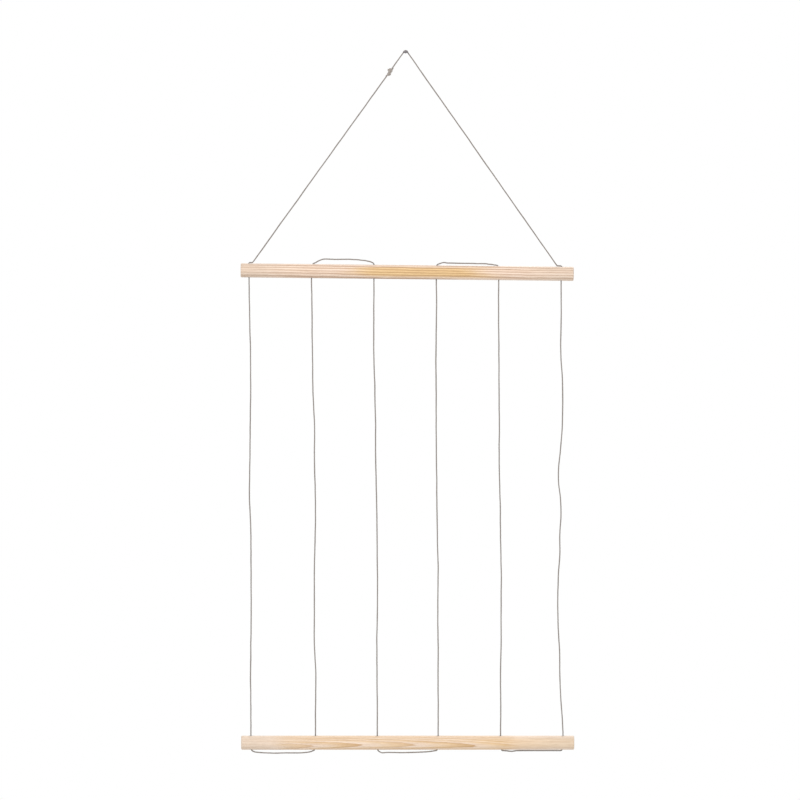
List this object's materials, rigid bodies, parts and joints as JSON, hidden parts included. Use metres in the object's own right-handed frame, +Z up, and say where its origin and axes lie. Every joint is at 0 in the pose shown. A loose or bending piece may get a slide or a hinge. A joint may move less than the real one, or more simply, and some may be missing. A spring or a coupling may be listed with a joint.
{
  "type": "hanging photo display",
  "caption": "Wall-hung display for small photographs: upright twine strings between a top and a bottom pine dowel, hung by the same twine from a nail.",
  "frame": {"origin": "the nail's axis where it enters the wall", "axes": "+Z up, -Y out of the wall into the room, +X to the right as seen from the room; the wall is the plane y = 0"},
  "size_m": [0.4007, 0.0293, 0.8458],
  "materials": {
    "pine": "sanded, unvarnished, fine straight grain",
    "twine": "thin twisted natural twine, slightly hairy",
    "nail": "dull dark steel"
  },
  "bodies": {
    "wall_nail": {"wall_nail": "nail"},
    "nail_turn": {"hanger_turn": "twine"},
    "hanger": {"hanger_left_upper": "twine", "hanger_knot": "twine", "hanger_left_lower": "twine", "hanger_right": "twine"},
    "top_bar": {"top_dowel": "pine", "top_end_turn_left": "twine", "top_end_turn_right": "twine", "top_loop_left": "twine", "top_loop_right": "twine"},
    "curtain_head": {"string_1_head": "twine", "string_2_head": "twine", "string_3_head": "twine", "string_4_head": "twine", "string_5_head": "twine", "string_6_head": "twine"},
    "string_1": {"string_1": "twine"},
    "string_2": {"string_2": "twine"},
    "string_3": {"string_3": "twine"},
    "string_4": {"string_4": "twine"},
    "string_5": {"string_5": "twine"},
    "string_6": {"string_6": "twine"},
    "curtain_foot": {"string_1_foot": "twine", "string_2_foot": "twine", "string_3_foot": "twine", "string_4_foot": "twine", "string_5_foot": "twine", "string_6_foot": "twine"},
    "bottom_bar": {"bottom_dowel": "pine", "bottom_loop_left": "twine", "bottom_loop_middle": "twine", "bottom_loop_right": "twine"}
  },
  "joints": [
    {"name": "sway_on_nail", "type": "hinge", "parent": "wall_nail", "child": "nail_turn", "pos_m": [0, -0.0088, 0], "axis": [0, 1, 0], "range_deg": [-25, 25]},
    {"name": "lift_from_wall", "type": "hinge", "parent": "nail_turn", "child": "hanger", "pos_m": [-0.00002, -0.0088, -0.0015], "axis": [-1, 0, 0], "range_deg": [0, 45]},
    {"name": "top_dowel_roll", "type": "hinge", "parent": "hanger", "child": "top_bar", "pos_m": [-0.0009, -0.0088, -0.25492], "axis": [-0.9999, 0, 0.0106], "range_deg": [-45, 45]},
    {"name": "curtain_swing", "type": "hinge", "parent": "top_bar", "child": "curtain_head", "pos_m": [0.0018, -0.0088, -0.2743], "axis": [-0.9999, 0, 0.0106], "range_deg": [-45, 60]},
    {"name": "string_1_sway", "type": "hinge", "parent": "curtain_head", "child": "string_1", "pos_m": [-0.18809, -0.0088, -0.27628], "axis": [0, 1, 0], "range_deg": [-15.5, 15.5]},
    {"name": "string_2_sway", "type": "hinge", "parent": "curtain_head", "child": "string_2", "pos_m": [-0.1131, -0.0088, -0.27708], "axis": [0, 1, 0], "range_deg": [-15.5, 15.5]},
    {"name": "curtain_sway", "type": "hinge", "parent": "curtain_head", "child": "string_3", "pos_m": [-0.0381, -0.0088, -0.27787], "axis": [0, 1, 0], "range_deg": [-15, 15]},
    {"name": "string_4_sway", "type": "hinge", "parent": "curtain_head", "child": "string_4", "pos_m": [0.03689, -0.0088, -0.27867], "axis": [0, 1, 0], "range_deg": [-15.5, 15.5]},
    {"name": "string_5_sway", "type": "hinge", "parent": "curtain_head", "child": "string_5", "pos_m": [0.11189, -0.0088, -0.27947], "axis": [0, 1, 0], "range_deg": [-15.5, 15.5]},
    {"name": "string_6_sway", "type": "hinge", "parent": "curtain_head", "child": "string_6", "pos_m": [0.18688, -0.0088, -0.28027], "axis": [0, 1, 0], "range_deg": [-15.5, 15.5]},
    {"name": "foot_level", "type": "hinge", "parent": "string_3", "child": "curtain_foot", "pos_m": [-0.03402, -0.0088, -0.8162], "axis": [0, 1, 0], "range_deg": [-15.5, 15.5]},
    {"name": "bottom_dowel_roll", "type": "hinge", "parent": "curtain_foot", "child": "bottom_bar", "pos_m": [0.0025, -0.0088, -0.8202], "axis": [-1, 0, 0], "range_deg": [-60, 60]}
  ],
  "couplings": [
    {"joint": "string_1_sway", "follows": "curtain_sway", "ratio": 0.99706},
    {"joint": "string_2_sway", "follows": "curtain_sway", "ratio": 0.99851},
    {"joint": "string_4_sway", "follows": "curtain_sway", "ratio": 1.0015},
    {"joint": "string_5_sway", "follows": "curtain_sway", "ratio": 1.003},
    {"joint": "string_6_sway", "follows": "curtain_sway", "ratio": 1.0045},
    {"joint": "foot_level", "follows": "curtain_sway", "ratio": -1}
  ]
}
